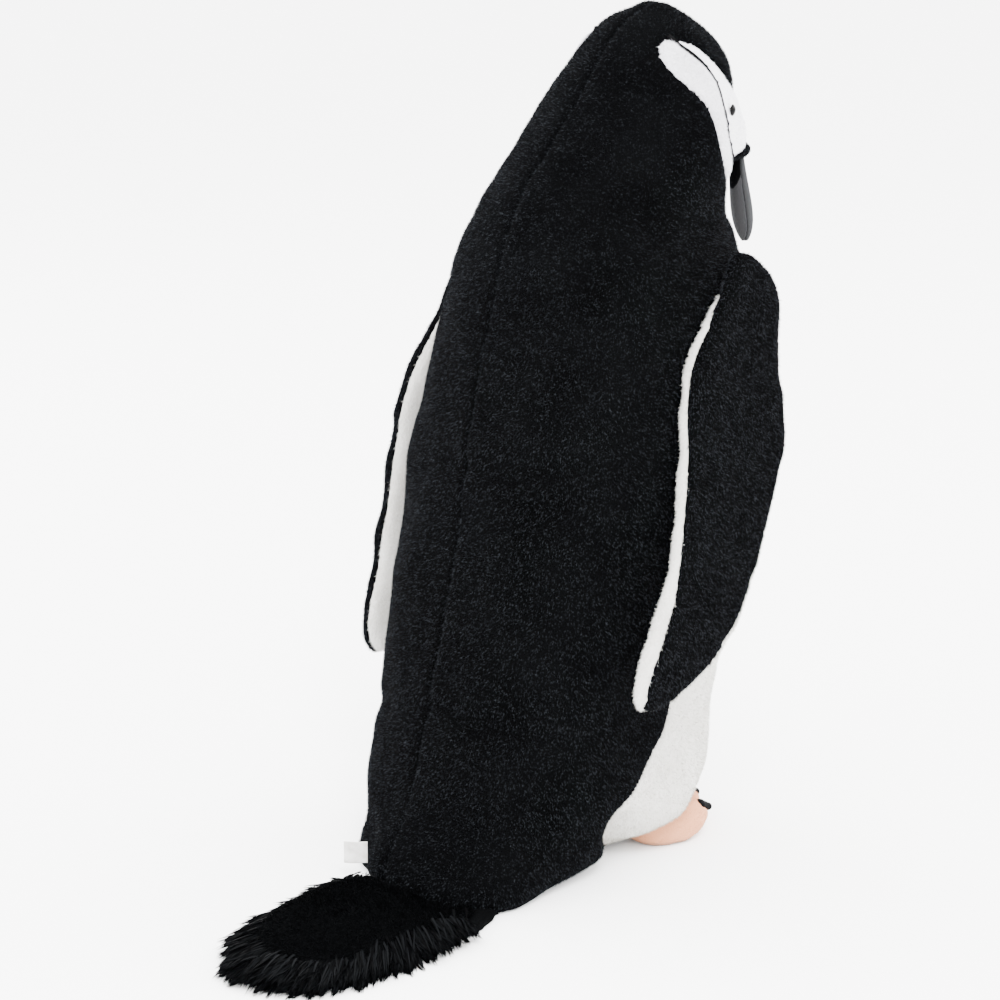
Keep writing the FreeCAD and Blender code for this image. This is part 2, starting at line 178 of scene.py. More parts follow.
def outer_shell(names, voxel, smoothing):
    """One closed surface of even quads round the named CAD nodes."""
    points = []
    faces = []
    start = 0
    for name in names:
        mesh = nodes[name].data
        points.append(points_of(mesh))
        mesh.calc_loop_triangles()
        triangles = np.empty(len(mesh.loop_triangles) * 3, dtype=np.int32)
        mesh.loop_triangles.foreach_get("vertices", triangles)
        faces.append(triangles.reshape(-1, 3) + start)
        start += len(mesh.vertices)
    source = mesh_object("source", np.concatenate(points), np.concatenate(faces))
    remesh = source.modifiers.new("remesh", "REMESH")
    remesh.mode = "VOXEL"
    remesh.voxel_size = voxel
    smooth = source.modifiers.new("smooth", "SMOOTH")
    smooth.factor = 0.5
    smooth.iterations = smoothing
    graph = bpy.context.evaluated_depsgraph_get()
    result = bpy.data.meshes.new_from_object(source.evaluated_get(graph))
    bpy.data.objects.remove(source)
    points = points_of(result)
    quads = quads_of(result)
    bpy.data.meshes.remove(result)
    return largest_island(points, quads)


def largest_island(points, quads):
    """Only the connected part with the most faces."""
    label = np.arange(len(points))
    while True:
        lowest = label[quads].min(axis=1)
        new = label.copy()
        for corner in range(4):
            np.minimum.at(new, quads[:, corner], lowest)
        new = new[new]
        if np.array_equal(new, label):
            break
        label = new
    names, counts = np.unique(label[quads[:, 0]], return_counts=True)
    quads = quads[label[quads[:, 0]] == names[np.argmax(counts)]]
    used = np.unique(quads)
    number = np.full(len(points), -1)
    number[used] = np.arange(len(used))
    return points[used], number[quads]


def edges_of(quads):
    """Every edge twice, once from each of its faces, as rows of two corner numbers."""
    pairs = np.concatenate([quads[:, [0, 1]], quads[:, [1, 2]], quads[:, [2, 3]], quads[:, [3, 0]]])
    return pairs[pairs[:, 0] != pairs[:, 1]]


def node_tree(name):
    """A search tree of one CAD node's surface."""
    mesh = nodes[name].data
    return BVHTree.FromPolygons([v.co for v in mesh.vertices], [p.vertices for p in mesh.polygons])


def distances_to(names, points):
    """How far each point is from each named CAD node: one column per node."""
    columns = []
    for name in names:
        tree = node_tree(name)
        columns.append([tree.find_nearest(p)[3] for p in points])
    return np.array(columns).T


def snap_to_seams(points, quads, distance):
    """Move points next to a border between two panels onto it, so that panels end in clean lines."""
    label = distance.argmin(axis=1)
    edges = edges_of(quads)
    a, b = edges[:, 0], edges[:, 1]
    mixed = label[a] != label[b]
    a, b = a[mixed], b[mixed]
    gap_a = distance[a, label[b]] - distance[a, label[a]]
    gap_b = distance[b, label[a]] - distance[b, label[b]]
    share = gap_a / np.maximum(gap_a + gap_b, 1e-9)
    near = share < 0.5
    target = points[a] + (points[b] - points[a]) * share[:, None]
    reach = np.linalg.norm(target - points[a], axis=1)
    order = np.argsort(-reach[near])
    chosen = a[near][order]
    moved = points.copy()
    moved[chosen] = target[near][order]
    between = distance.copy()
    towards = distance[b[near][order]] - distance[chosen]
    between[chosen] = distance[chosen] + towards * share[near][order][:, None]
    return moved, between


def lumps(points, size, height, waves=20):
    """Smooth seeded unevenness of about the given size and height, one value per point."""
    total = np.zeros(len(points))
    for _ in range(waves):
        way = unit(rng.normal(size=3))
        pitch = size * rng.uniform(0.75, 1.5)
        total += np.sin(points @ way * (2.0 * math.pi / pitch) + rng.uniform(0.0, 2.0 * math.pi))
    return total * height / math.sqrt(waves / 2.0)


def ease(value, start, end):
    """0 before start, 1 after end, smooth between."""
    share = np.clip((value - start) / (end - start), 0.0, 1.0)
    return share * share * (3.0 - 2.0 * share)


def groove(distance, width, depth):
    """A rounded groove that dips by depth where distance is 0."""
    return -depth * np.exp(-((distance / width) ** 2))


def panel(name, points, quads, normals, thickness, material):
    """A closed fabric panel: the given faces, the same faces lower by thickness, and a rim."""
    used = np.unique(quads)
    number = np.full(len(points), -1)
    number[used] = np.arange(len(used))
    top = points[used]
    low = top - normals[used] * thickness
    faces = number[quads]
    count = len(used)
    edges = edges_of(faces)
    keys = np.sort(edges, axis=1)
    _, first, counts = np.unique(keys, axis=0, return_index=True, return_counts=True)
    rim = edges[first[counts == 1]]
    rim_faces = np.stack([rim[:, 1], rim[:, 0], rim[:, 0] + count, rim[:, 1] + count], axis=1)
    under = faces[:, ::-1] + count
    all_faces = np.concatenate([faces, under, rim_faces])
    return mesh_object(name, np.concatenate([top, low]), all_faces, [material])


# ---- Pile ---------------------------------------------------------------------------------
PAINTED_SHADE_TOP = 0.16      # white plush below this height is greyer and warmer: painted shade


def scatter(points, quads, normals, count, weight=None):
    """Seeded places on the faces: (places, normals)."""
    triangles = np.concatenate([quads[:, [0, 1, 2]], quads[:, [0, 2, 3]]])
    corners = points[triangles]
    area = np.linalg.norm(np.cross(corners[:, 1] - corners[:, 0], corners[:, 2] - corners[:, 0]), axis=1)
    if weight is not None:
        area = area * np.concatenate([weight, weight])
    chosen = rng.choice(len(triangles), size=count, p=area / area.sum())
    u = rng.random(count)
    v = rng.random(count)
    over = u + v > 1.0
    u[over], v[over] = 1.0 - u[over], 1.0 - v[over]
    shares = np.stack([1.0 - u - v, u, v], axis=1)[:, :, None]
    places = (corners[chosen] * shares).sum(axis=1)
    facing = unit((normals[triangles[chosen]] * shares).sum(axis=1))
    return places, facing


def pile(name, places, facing, lay, length, width, lean, ruffle, materials, sink=0.0006, low=None):
    """Short pile: one tapered fibre per place, leaning along lay. Low fibres may take the darker shades in
    low: painted shade.
    """
    count = len(places)
    along = unit(lay - facing * (lay * facing).sum(axis=1, keepdims=True))
    way = unit(facing * (1.0 - lean) + along * lean + rng.normal(size=(count, 3)) * ruffle)
    side = unit(np.cross(way, unit(rng.normal(size=(count, 3)) * 0.6 + facing)))
    reach = length * rng.uniform(0.7, 1.15, size=(count, 1))
    root = places - facing * sink
    half = side * width * 0.5
    verts = np.stack([root - half, root + half, root + way * reach], axis=1).reshape(-1, 3)
    faces = np.arange(count * 3).reshape(-1, 3)
    chosen = rng.integers(0, len(materials), size=count)
    if low is not None:
        # The nearer the floor, the more fibres take the darker low shades: painted shade.
        share = 1.0 - ease(places[:, 2], 0.0, PAINTED_SHADE_TOP)
        chosen = np.where(rng.random(count) < share, chosen + len(materials), chosen)
        materials = materials + low
    return mesh_object(name, verts, faces, materials, chosen, smooth=False)


def strands(name, curves, width, materials, chosen):
    """Long pile: one tapered ribbon along each row of points."""
    count, steps, _ = curves.shape
    along = np.gradient(curves, axis=1)
    side = unit(np.cross(along, rng.normal(size=(count, 1, 3)) * 0.5 + UP))
    taper = np.sqrt(np.clip(1.0 - np.linspace(0.0, 1.0, steps), 0.0, 1.0))[None, :, None]
    taper[:, -1] = 0.06
    half = side * width * 0.5 * taper
    verts = np.stack([curves - half, curves + half], axis=2).reshape(-1, 3)
    base = (np.arange(count)[:, None] * steps + np.arange(steps - 1)[None, :]) * 2
    faces = np.stack([base, base + 1, base + 3, base + 2], axis=-1).reshape(-1, 4)
    return mesh_object(name, verts, faces, materials, np.repeat(chosen, steps - 1), smooth=True)


# ---- Materials --------------------------------------------------------------------------
def plush(name, dark, light, sheen, sheen_tint, grain, bump, roughness=0.85, specular=0.2):
    """Backing of a plush panel: mottled pile with a fine grain."""
    material, add, link = new_material(name)
    out = add("ShaderNodeOutputMaterial")
    shader = add("ShaderNodeBsdfPrincipled", Roughness=roughness)
    shader.inputs["Sheen Weight"].default_value = sheen
    shader.inputs["Sheen Roughness"].default_value = 0.45
    shader.inputs["Sheen Tint"].default_value = (*sheen_tint, 1.0)
    shader.inputs["Specular IOR Level"].default_value = specular
    place = add("ShaderNodeTexCoord")
    fine = add("ShaderNodeTexNoise", Scale=grain, Detail=3.0)
    broad = add("ShaderNodeTexNoise", Scale=22.0, Detail=4.0)
    mix = add("ShaderNodeMath", operation="MULTIPLY")
    ramp = add("ShaderNodeValToRGB")
    ramp.color_ramp.elements[0].position = 0.12
    ramp.color_ramp.elements[0].color = (*dark, 1.0)
    ramp.color_ramp.elements[1].position = 0.42
    ramp.color_ramp.elements[1].color = (*light, 1.0)
    relief = add("ShaderNodeBump", Strength=0.9, Distance=bump)
    link(place.outputs["Object"], fine.inputs["Vector"])
    link(place.outputs["Object"], broad.inputs["Vector"])
    link(fine.outputs["Fac"], mix.inputs[0])
    link(broad.outputs["Fac"], mix.inputs[1])
    link(mix.outputs[0], ramp.inputs["Fac"])
    link(ramp.outputs["Color"], shader.inputs["Base Color"])
    link(fine.outputs["Fac"], relief.inputs["Height"])
    link(relief.outputs["Normal"], shader.inputs["Normal"])
    link(shader.outputs["BSDF"], out.inputs["Surface"])
    return material


def fibre(name, colour, sheen, roughness=0.7, tint=(1.0, 1.0, 1.0), specular=0.25):
    """One shade of pile fibre."""
    material, add, link = new_material(name)
    out = add("ShaderNodeOutputMaterial")
    shader = add("ShaderNodeBsdfPrincipled", Roughness=roughness)
    shader.inputs["Base Color"].default_value = (*colour, 1.0)
    shader.inputs["Sheen Weight"].default_value = sheen
    shader.inputs["Sheen Roughness"].default_value = 0.4
    shader.inputs["Sheen Tint"].default_value = (*tint, 1.0)
    shader.inputs["Specular IOR Level"].default_value = specular
    link(shader.outputs["BSDF"], out.inputs["Surface"])
    return material


def fibres(name, colours, sheen, roughness=0.7, tint=(1.0, 1.0, 1.0), specular=0.25):
    """The shades that one plush's pile mixes."""
    return [
        fibre(f"{name}_{step}", colour, sheen, roughness, tint, specular)
        for step, colour in enumerate(colours)
    ]


WHITE_TINT = (1.0, 1.0, 1.0)
WARM_TINT = (1.0, 0.9, 0.8)
BLUE_TINT = (0.6, 0.75, 0.9)
black_backing = plush(
    "black_plush", (0.0004, 0.0004, 0.00045), (0.0011, 0.0012, 0.0013), 0.002, (0.6, 0.7, 0.8),
    900.0, 0.0012, 0.9, 0.005)
white_backing = plush(
    "white_plush", (0.40, 0.385, 0.355), (0.56, 0.55, 0.53), 0.15, WHITE_TINT, 900.0, 0.0010)
face_backing = plush(
    "face_plush", (0.56, 0.55, 0.575), (0.72, 0.72, 0.745), 0.15, WHITE_TINT, 1200.0, 0.0006)
foot_backing = plush(
    "foot_fabric", (0.40, 0.17, 0.085), (0.52, 0.245, 0.135), 0.1, WARM_TINT, 1500.0, 0.0004)
sole_backing = plush(
    "sole_fabric", (0.26, 0.13, 0.08), (0.34, 0.19, 0.12), 0.05, WARM_TINT, 1500.0, 0.0004)
beak_backing = plush(
    "beak_fabric", (0.009, 0.0091, 0.0098), (0.018, 0.0183, 0.0198), 0.02, (0.8, 0.85, 1.0),
    1600.0, 0.0004, 0.8, 0.1)
# The lightest of the four shades stands in for glints off the fibre tips: painted highlight.
black_fibres = fibres(
    "black_fibre",
    [(0.0005, 0.0005, 0.0006), (0.0012, 0.0013, 0.0016), (0.0030, 0.0033, 0.0040), (0.0165, 0.0185, 0.0215)],
    0.003, 0.6, BLUE_TINT, 0.01)
# The flipper's pile copies the body's, with its middle shades a little lighter for the flipper's brighter
# light: painted light. Its lightest shade is painted highlight, as on the body.
flipper_painted_light_shades = fibres(
    "flipper_painted_light_fibre",
    [(0.0005, 0.0005, 0.0006), (0.0013, 0.0014, 0.0017), (0.0033, 0.0036, 0.0043), (0.0165, 0.018, 0.021)],
    0.003, 0.6, BLUE_TINT, 0.01)
# Darker, warmer shades of the white pile for low on the belly: painted shade.
painted_shade_fibres = fibres("painted_shade_fibre", [(0.29, 0.275, 0.235), (0.38, 0.365, 0.32), (0.43, 0.415, 0.37)], 0.1)
white_fibres = fibres("white_fibre", [(0.44, 0.425, 0.395), (0.54, 0.53, 0.51), (0.60, 0.60, 0.585)], 0.15)
face_fibres = fibres("face_fibre", [(0.60, 0.59, 0.615), (0.74, 0.74, 0.765), (0.80, 0.80, 0.82)], 0.15)
foot_fibres = fibres("foot_fibre", [(0.40, 0.17, 0.085), (0.50, 0.235, 0.13), (0.57, 0.29, 0.17)], 0.05)
beak_fibres = fibres(
    "beak_fibre", [(0.008, 0.0081, 0.009), (0.016, 0.0163, 0.018), (0.030, 0.0305, 0.0335)],
    0.02, 0.7, WHITE_TINT, 0.1)


def finish_piece(obj, body, stands_for=()):
    """Rides the piece on its body and hides the CAD nodes it stands for."""
    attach(obj, body)
    if stands_for:
        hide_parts(*stands_for)


# ---- Body ---------------------------------------------------------------------------------
BODY_VOXEL = 0.0028
PANEL_THICKNESS = 0.003
SHORT_PILE = 0.0029
FIBRE_WIDTH = 0.00052
TORSO_NODES = [
    "back_panel_left", "back_panel_right", "belly_panel", "base_panel", "face_panel_left",
    "face_panel_right", "cheek_panel_left", "cheek_panel_right", "chin_strap", "body_filling", "pellet_bag",
]
TORSO_PANELS = TORSO_NODES[:8]


def line_distance(points, line):
    """How far each point is from a line through the given corners."""
    best = np.full(len(points), 1e9)
    line = np.array(line)
    for start, end in zip(line[:-1], line[1:]):
        along = end - start
        share = np.clip((points - start) @ along / (along @ along), 0.0, 1.0)
        best = np.minimum(best, np.linalg.norm(points - start - share[:, None] * along, axis=1))
    return best


# Creases where the stuffed body folds as it leans: across the middle of the back, low on the
# back, and on the back of the head.
UPPER_CREASE = [
    (0.090, 0.055, 0.334), (0.064, 0.072, 0.339), (-0.004, 0.078, 0.353), (-0.057, 0.068, 0.361),
    (-0.106, 0.043, 0.366),
]
LOWER_CREASE = [
    (0.100, 0.085, 0.125), (0.067, 0.113, 0.133), (-0.014, 0.121, 0.152), (-0.059, 0.112, 0.148),
    (-0.111, 0.077, 0.141),
]
HEAD_CREASE = [(0.03, -0.075, 0.655), (-0.02, -0.070, 0.648), (-0.06, -0.092, 0.640)]
# Each crease with its width and depth.
CREASES = [(UPPER_CREASE, 0.010, 0.0045), (LOWER_CREASE, 0.011, 0.0050), (HEAD_CREASE, 0.008, 0.0025)]


LEFT_HIP_WAY = np.array([0.669, 0.743, 0.0])
SKIN_RISE = -0.0006       # the skin sits this much lower, and its pile stands on it
CROWN_SWELL = 0.0012      # the upper back and the crown swell by this
FACE_TUCK = 0.004         # the face is a little flatter than the stuffing's form
FACE_MIDDLE = np.array([0.0, -0.200, 0.632])
FACE_REACH = 0.035
LEFT_HIP_TUCK = 0.014     # the left hip is stuffed less and tucks in by this
# Over each foot the white thigh bulges, and a crease pulls in behind it.
THIGH = np.array([0.100, -0.066, 0.032])
THIGH_REACH = 0.034
THIGH_BULGE = 0.017
CREASE_LINE = [(0.108, 0.004, 0.044), (0.096, -0.010, 0.026), (0.080, -0.022, 0.004)]
CREASE_WIDTH = 0.015
CREASE_PULL = 0.021
# The right rear corner of the base spreads a little.
HEEL = np.array([-0.106, 0.128, 0.008])
HEEL_REACH = 0.034
HEEL_BULGE = 0.013
# Under the cheeks the throat draws in behind the beak.
JAW_TOP = 0.602
JAW_PULL = 0.012


def left_hip(points):
    """1 on the low left corner of the back, fading to 0 round it."""
    sideways = ease(points[:, 0], 0.004, 0.055)
    return sideways * ease(-points[:, 2], -0.070, -0.030) * ease(points[:, 1], 0.0, 0.06)


def swell(points, middle, reach, height):
    """A soft round bulge of the given height."""
    return height * np.exp(-((np.linalg.norm(points - middle, axis=1) / reach) ** 2))


def sculpted(points, normals):
    """Bulge the thighs over the feet, pull the creases in behind them and draw in the throat."""
    folded = points.copy()
    folded[:, 0] = np.abs(folded[:, 0])
    shift = swell(folded, THIGH, THIGH_REACH, THIGH_BULGE) + swell(points, HEEL, HEEL_REACH, HEEL_BULGE)
    shift += groove(line_distance(folded, CREASE_LINE), CREASE_WIDTH, CREASE_PULL)
    jaw = ease(-points[:, 2], -JAW_TOP, 0.008 - JAW_TOP) * ease(points[:, 2], 0.530, 0.570)
    shift -= JAW_PULL * jaw * ease(-points[:, 1], 0.138, 0.165)
    level = unit(normals * np.array([1.0, 1.0, 0.0]))
    return points + level * shift[:, None]


def body_shell():
    """The whole body's surface, sculpted, and how far each point is from each panel."""
    points, quads = outer_shell(TORSO_NODES, BODY_VOXEL, 10)
    distance = distances_to(TORSO_PANELS, points)
    points, distance = snap_to_seams(points, quads, distance)
    normals = vertex_normals(points, quads)
    ordered = np.sort(distance, axis=1)
    seam = ordered[:, 1] - ordered[:, 0]
    lift = groove(seam, 0.0035, 0.0022)
    behind_face = ease(points[:, 1], -0.17, -0.12)
    lift += CROWN_SWELL * ease(points[:, 2], 0.40, 0.66) * behind_face + SKIN_RISE
    lift -= FACE_TUCK * swell(points * np.array([0.0, 1.0, 1.0]), FACE_MIDDLE, FACE_REACH, 1.0)
    for line, width, depth in CREASES:
        away = line_distance(points, line)
        lift += groove(away, width, depth) - groove(away, width * 3.0, depth * 0.45)
    above_floor = np.clip(points[:, 2] / 0.03, 0.0, 1.0)
    lift += lumps(points, 0.11, 0.0012) * above_floor
    lift += lumps(points, 0.035, 0.0005) * above_floor
    points = points + normals * lift[:, None]
    points = sculpted(points, normals)
    points = points - LEFT_HIP_WAY * (LEFT_HIP_TUCK * left_hip(points))[:, None]
    points[:, 2] = np.maximum(points[:, 2], 0.0)
    return points, quads, vertex_normals(points, quads), distance


PANEL_LOOKS = {
    # panel: its material slot, backing, pile shades, number of fibres, length, nodes it stands for
    "back_panel_left": ("black_plush", black_backing, black_fibres, 190000, SHORT_PILE, ["body_filling"]),
    "back_panel_right": ("black_plush", black_backing, black_fibres, 190000, SHORT_PILE, ["pellet_bag"]),
    "belly_panel": ("white_plush", white_backing, white_fibres, 150000, SHORT_PILE, []),
    "base_panel": ("base_fabric", black_backing, black_fibres, 0, 0.0, []),
    "face_panel_left": ("face_plush", face_backing, face_fibres, 16000, 0.0022, []),
    "face_panel_right": ("face_plush", face_backing, face_fibres, 16000, 0.0022, []),
    "cheek_panel_left": ("face_plush", face_backing, face_fibres, 16000, 0.0026, []),
    "cheek_panel_right": ("face_plush", face_backing, face_fibres, 16000, 0.0026, []),
}

points, quads, normals, distance = body_shell()
face_label = distance[quads].mean(axis=1).argmin(axis=1)
for index, name in enumerate(TORSO_PANELS):
    slot, backing, shades, count, length, inside = PANEL_LOOKS[name]
    own = quads[face_label == index]
    piece = panel("plush_" + name, points, own, normals, PANEL_THICKNESS, backing)
    finish_piece(piece, "root", [name] + inside)
    if count:
        places, facing = scatter(points, own, normals, count)
        lay = np.tile([0.0, 0.25, -1.0], (count, 1))
        # Low on the belly the pile takes painted shade.
        low = painted_shade_fibres if name == "belly_panel" else None
        hair = pile("pile_" + name, places, facing, lay, length, FIBRE_WIDTH, 0.45, 0.26, shades, low=low)
        finish_piece(hair, "root")

# ---- Chin strap ---------------------------------------------------------------------------
# The strap's line in side view, as (y, z), from the crown down to the throat.
STRAP_LINE = [
    (-0.106, 0.705), (-0.113, 0.692), (-0.129, 0.676), (-0.139, 0.656), (-0.141, 0.636),
    (-0.140, 0.612), (-0.150, 0.586), (-0.168, 0.574),
]
STRAP_HALF_WIDTH = 0.0016
STRAP_RISE = 0.0027
STRAP_STEPS = 90
STRAP_MARGIN = 0.0025     # the strap stays this close to the white panels
SIDE_REACH = 0.3


def smooth_line(corners, steps):
    """Evenly numbered points of a smooth curve through the corners."""
    corners = np.array(corners)
    ends = np.concatenate([[2 * corners[0] - corners[1]], corners, [2 * corners[-1] - corners[-2]]])
    places = np.linspace(0.0, len(corners) - 1.000001, steps)
    index = places.astype(int)
    t = (places - index)[:, None]
    p0, p1, p2, p3 = ends[index], ends[index + 1], ends[index + 2], ends[index + 3]
    return 0.5 * (2 * p1 + (p2 - p0) * t + (2 * p0 - 5 * p1 + 4 * p2 - p3) * t ** 2
                  + (3 * p1 - p0 - 3 * p2 + p3) * t ** 3)


def tree_of(points, quads):
    return BVHTree.FromPolygons(points.tolist(), quads.tolist())


def strap(name, side, head, white_trees, material):
    """A narrow raised ribbon along the strap line on one side of the head."""
    middle = []
    facing = []
    for y, z in smooth_line(STRAP_LINE, STRAP_STEPS):
        place, normal, _, _ = head.ray_cast(Vector((side * SIDE_REACH, y, z)), Vector((-side, 0.0, 0.0)))
        if place is not None and min(tree.find_nearest(place)[3] for tree in white_trees) < STRAP_MARGIN:
            middle.append(place)
            facing.append(normal)
    middle = np.array(middle)
    facing = unit(np.array(facing))
    along = unit(np.gradient(middle, axis=0))
    across = unit(np.cross(along, facing))
    rows = []
    for share, rise in [(-1.0, -0.4), (-0.8, 0.7), (0.0, 1.1), (0.8, 0.7), (1.0, -0.4), (0.0, -0.6)]:
        rows.append(middle + across * STRAP_HALF_WIDTH * share + facing * STRAP_RISE * rise)
    ring = len(rows)
    verts = np.stack(rows, axis=1).reshape(-1, 3)
    faces = []
    for step in range(len(middle) - 1):
        for corner in range(ring):
            a = step * ring + corner
            b = step * ring + (corner + 1) % ring
            faces.append([a, b, b + ring, a + ring])
    last = (len(middle) - 1) * ring
    faces.append([3, 2, 1, 0])
    faces.append([5, 4, 3, 0])
    faces.append([last, last + 1, last + 2, last + 3])
    faces.append([last, last + 3, last + 4, last + 5])
    return mesh_object(name, verts, faces, [material])


strap_ribbon = plush(
    "strap_ribbon", (0.001, 0.001, 0.001), (0.003, 0.003, 0.0033), 0.01, (0.8, 0.8, 0.9),
    1400.0, 0.0003, 0.9, 0.02)
head_tree = tree_of(points, quads)
for side, word in [(1.0, "left"), (-1.0, "right")]:
    white_trees = [node_tree("face_panel_" + word), node_tree("cheek_panel_" + word)]
    piece = strap("strap_" + word, side, head_tree, white_trees, strap_ribbon)
    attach(piece, "root")
    if side > 0:
        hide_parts("chin_strap")


# ---- Flippers -----------------------------------------------------------------------------
FLIPPER_VOXEL = 0.0022
# How the stuffed flippers bow. The left one, as (height, shift outwards); the right one, as
# (height, shift backwards).
LEFT_BOW = [
    (0.13, 0.011), (0.15, 0.006), (0.176, 0.002), (0.195, 0.006), (0.232, 0.020), (0.268, 0.026),
    (0.304, 0.024), (0.340, 0.020), (0.376, 0.0155), (0.411, 0.008), (0.447, 0.001),
    (0.470, -0.004), (0.510, -0.008),
]
RIGHT_BOW = [
    (0.165, 0.020), (0.18, 0.015), (0.195, 0.007), (0.21, -0.002), (0.24, -0.0065), (0.28, -0.005),
    (0.32, -0.001), (0.36, -0.003), (0.385, -0.001), (0.41, 0.006), (0.44, 0.011), (0.465, 0.007),
    (0.485, 0.0), (0.51, -0.007),
]
# How much wider the right blade is at its front edge, as (height, shift forwards).
RIGHT_WIDER = [
    (0.17, 0.012), (0.20, 0.012), (0.24, 0.004), (0.28, 0.0), (0.33, 0.004), (0.41, 0.003),
    (0.44, 0.010), (0.48, 0.012), (0.53, 0.002),
]
SLICE = 0.01
BOW_BLUR = [-0.02, -0.01, 0.0, 0.01, 0.02]
# Where the seam between black and white runs, as (height, shift towards the black outer side).
LEFT_SEAM = [(0.10, -0.005), (0.50, -0.005)]
RIGHT_SEAM = [
    (0.168, -0.004), (0.185, 0.008), (0.22, 0.010), (0.30, 0.005), (0.40, 0.003), (0.47, 0.002),
    (0.50, -0.006),
]
FLIPPER_FABRIC = 0.002
FLIPPER_PILE = 0.0036
FLIPPER_FIBRES = 60000    # on each panel
WHITE_TOP = 0.492         # a flipper's inner white panel ends here, under the shoulder


def along_height(points, rows):
    """The value that (height, value) rows give at each point's height."""
    return np.interp(points[:, 2], [height for height, _ in rows], [value for _, value in rows])


def soft_shell(names, panels, voxel, smoothing, seam_width, seam_depth, rough, bend=None, seam=None):
    """A stuffed part's surface, sculpted: points, faces, normals and distances to its panels."""
    points, quads = outer_shell(names, voxel, smoothing)
    distance = distances_to(panels, points)
    if seam is not None:
        distance[:, 0] += along_height(points, seam)
    points, distance = snap_to_seams(points, quads, distance)
    normals = vertex_normals(points, quads)
    ordered = np.sort(distance, axis=1)
    lift = groove(ordered[:, 1] - ordered[:, 0], seam_width, seam_depth) - 0.0010
    lift += lumps(points, 0.05, rough) + lumps(points, 0.02, rough * 0.4)
    points = points + normals * lift[:, None]
    if bend is not None:
        points = bend(points)
    points[:, 2] = np.maximum(points[:, 2], 0.0003)
    return points, quads, vertex_normals(points, quads), distance


def bow(points, rows, way):
    """The points moved along way by the rows' smoothed shifts."""
    shift = sum(along_height(points + UP * step, rows) for step in BOW_BLUR) / len(BOW_BLUR)
    return points + way * shift[:, None]


def bow_left(points):
    return bow(points, LEFT_BOW, np.array([1.0, 0.0, 0.0]))


def bow_right(points):
    level = (points[:, 2] / SLICE).astype(int)
    rear = np.full(level.max() + 1, -1e9)
    front = np.full(level.max() + 1, 1e9)
    np.maximum.at(rear, level, points[:, 1])
    np.minimum.at(front, level, points[:, 1])
    share = (rear[level] - points[:, 1]) / np.maximum(rear[level] - front[level], SLICE)
    points = points.copy()
    points[:, 1] -= share * along_height(points, RIGHT_WIDER)
    return bow(points, RIGHT_BOW, np.array([0.0, 1.0, 0.0]))


def hung(obj):
    """Bake a flipper piece's transform into its mesh."""
    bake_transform(obj)


for side, bend, seam in [("left", bow_left, LEFT_SEAM), ("right", bow_right, RIGHT_SEAM)]:
    stem = "flipper_" + side
    panels = [stem + "_outer", stem + "_inner"]
    blade, blade_quads, blade_normals, blade_distance = soft_shell(
        panels + [stem + "_filling"], panels, FLIPPER_VOXEL, 6, 0.003, 0.0012, 0.0006, bend, seam)
    labels = blade_distance[blade_quads].mean(axis=1).argmin(axis=1)
    labels[blade[blade_quads].mean(axis=1)[:, 2] > WHITE_TOP] = 0
    looks = [("black_plush", black_backing, flipper_painted_light_shades), ("white_plush", white_backing, white_fibres)]
    for index, (slot, backing, shades) in enumerate(looks):
        own = blade_quads[labels == index]
        name = panels[index]
        piece = panel("plush_" + name, blade, own, blade_normals, FLIPPER_FABRIC, backing)
        hung(piece)
        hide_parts(*([name, stem + "_filling"] if index == 0 else [name]))
        places, facing = scatter(blade, own, blade_normals, FLIPPER_FIBRES)
        lay = np.tile([0.0, 0.35, -1.0], (FLIPPER_FIBRES, 1))
        hair = pile("pile_" + name, places, facing, lay, FLIPPER_PILE, FIBRE_WIDTH, 0.6, 0.26, shades)
        hung(hair)


# ---- Feet ---------------------------------------------------------------------------------
FOOT_VOXEL = 0.0018
FOOT_FABRIC = 0.0015
FOOT_PILE = 0.0016
FOOT_FIBRE_WIDTH = 0.0005
FOOT_FIBRES = 30000       # on each foot
TOE_UNDERCUT = 0.009      # the toes draw in towards the floor by this


def toes(points):
    """Round the toes under."""
    low = (1.0 - ease(points[:, 2], 0.0, 0.026)) * ease(-points[:, 1], 0.090, 0.130)
    points = points.copy()
    points[:, 0] -= np.sign(points[:, 0]) * TOE_UNDERCUT * 0.6 * low
    points[:, 1] += TOE_UNDERCUT * 0.8 * low
    return points


for side in ["left", "right"]:
    stem = "foot_" + side
    panels = [stem + "_upper", stem + "_sole"]
    foot, foot_quads, foot_normals, foot_distance = soft_shell(
        panels + [stem + "_filling"], panels, FOOT_VOXEL, 4, 0.002, 0.0008, 0.0005, toes)
    labels = foot_distance[foot_quads].mean(axis=1).argmin(axis=1)
    looks = [("foot_fabric", foot_backing), ("sole_fabric", sole_backing)]
    for index, (slot, backing) in enumerate(looks):
        own = foot_quads[labels == index]
        name = panels[index]
        piece = panel("plush_" + name, foot, own, foot_normals, FOOT_FABRIC, backing)
        inside = [stem + "_filling"] if index == 0 else []
        finish_piece(piece, stem, [name] + inside)
        if index == 0:
            places, facing = scatter(foot, own, foot_normals, FOOT_FIBRES)
            lay = np.tile([0.0, -1.0, -0.3], (FOOT_FIBRES, 1))
            hair = pile(
                "pile_" + name, places, facing, lay, FOOT_PILE, FOOT_FIBRE_WIDTH, 0.5, 0.3, foot_fibres)
            finish_piece(hair, stem)


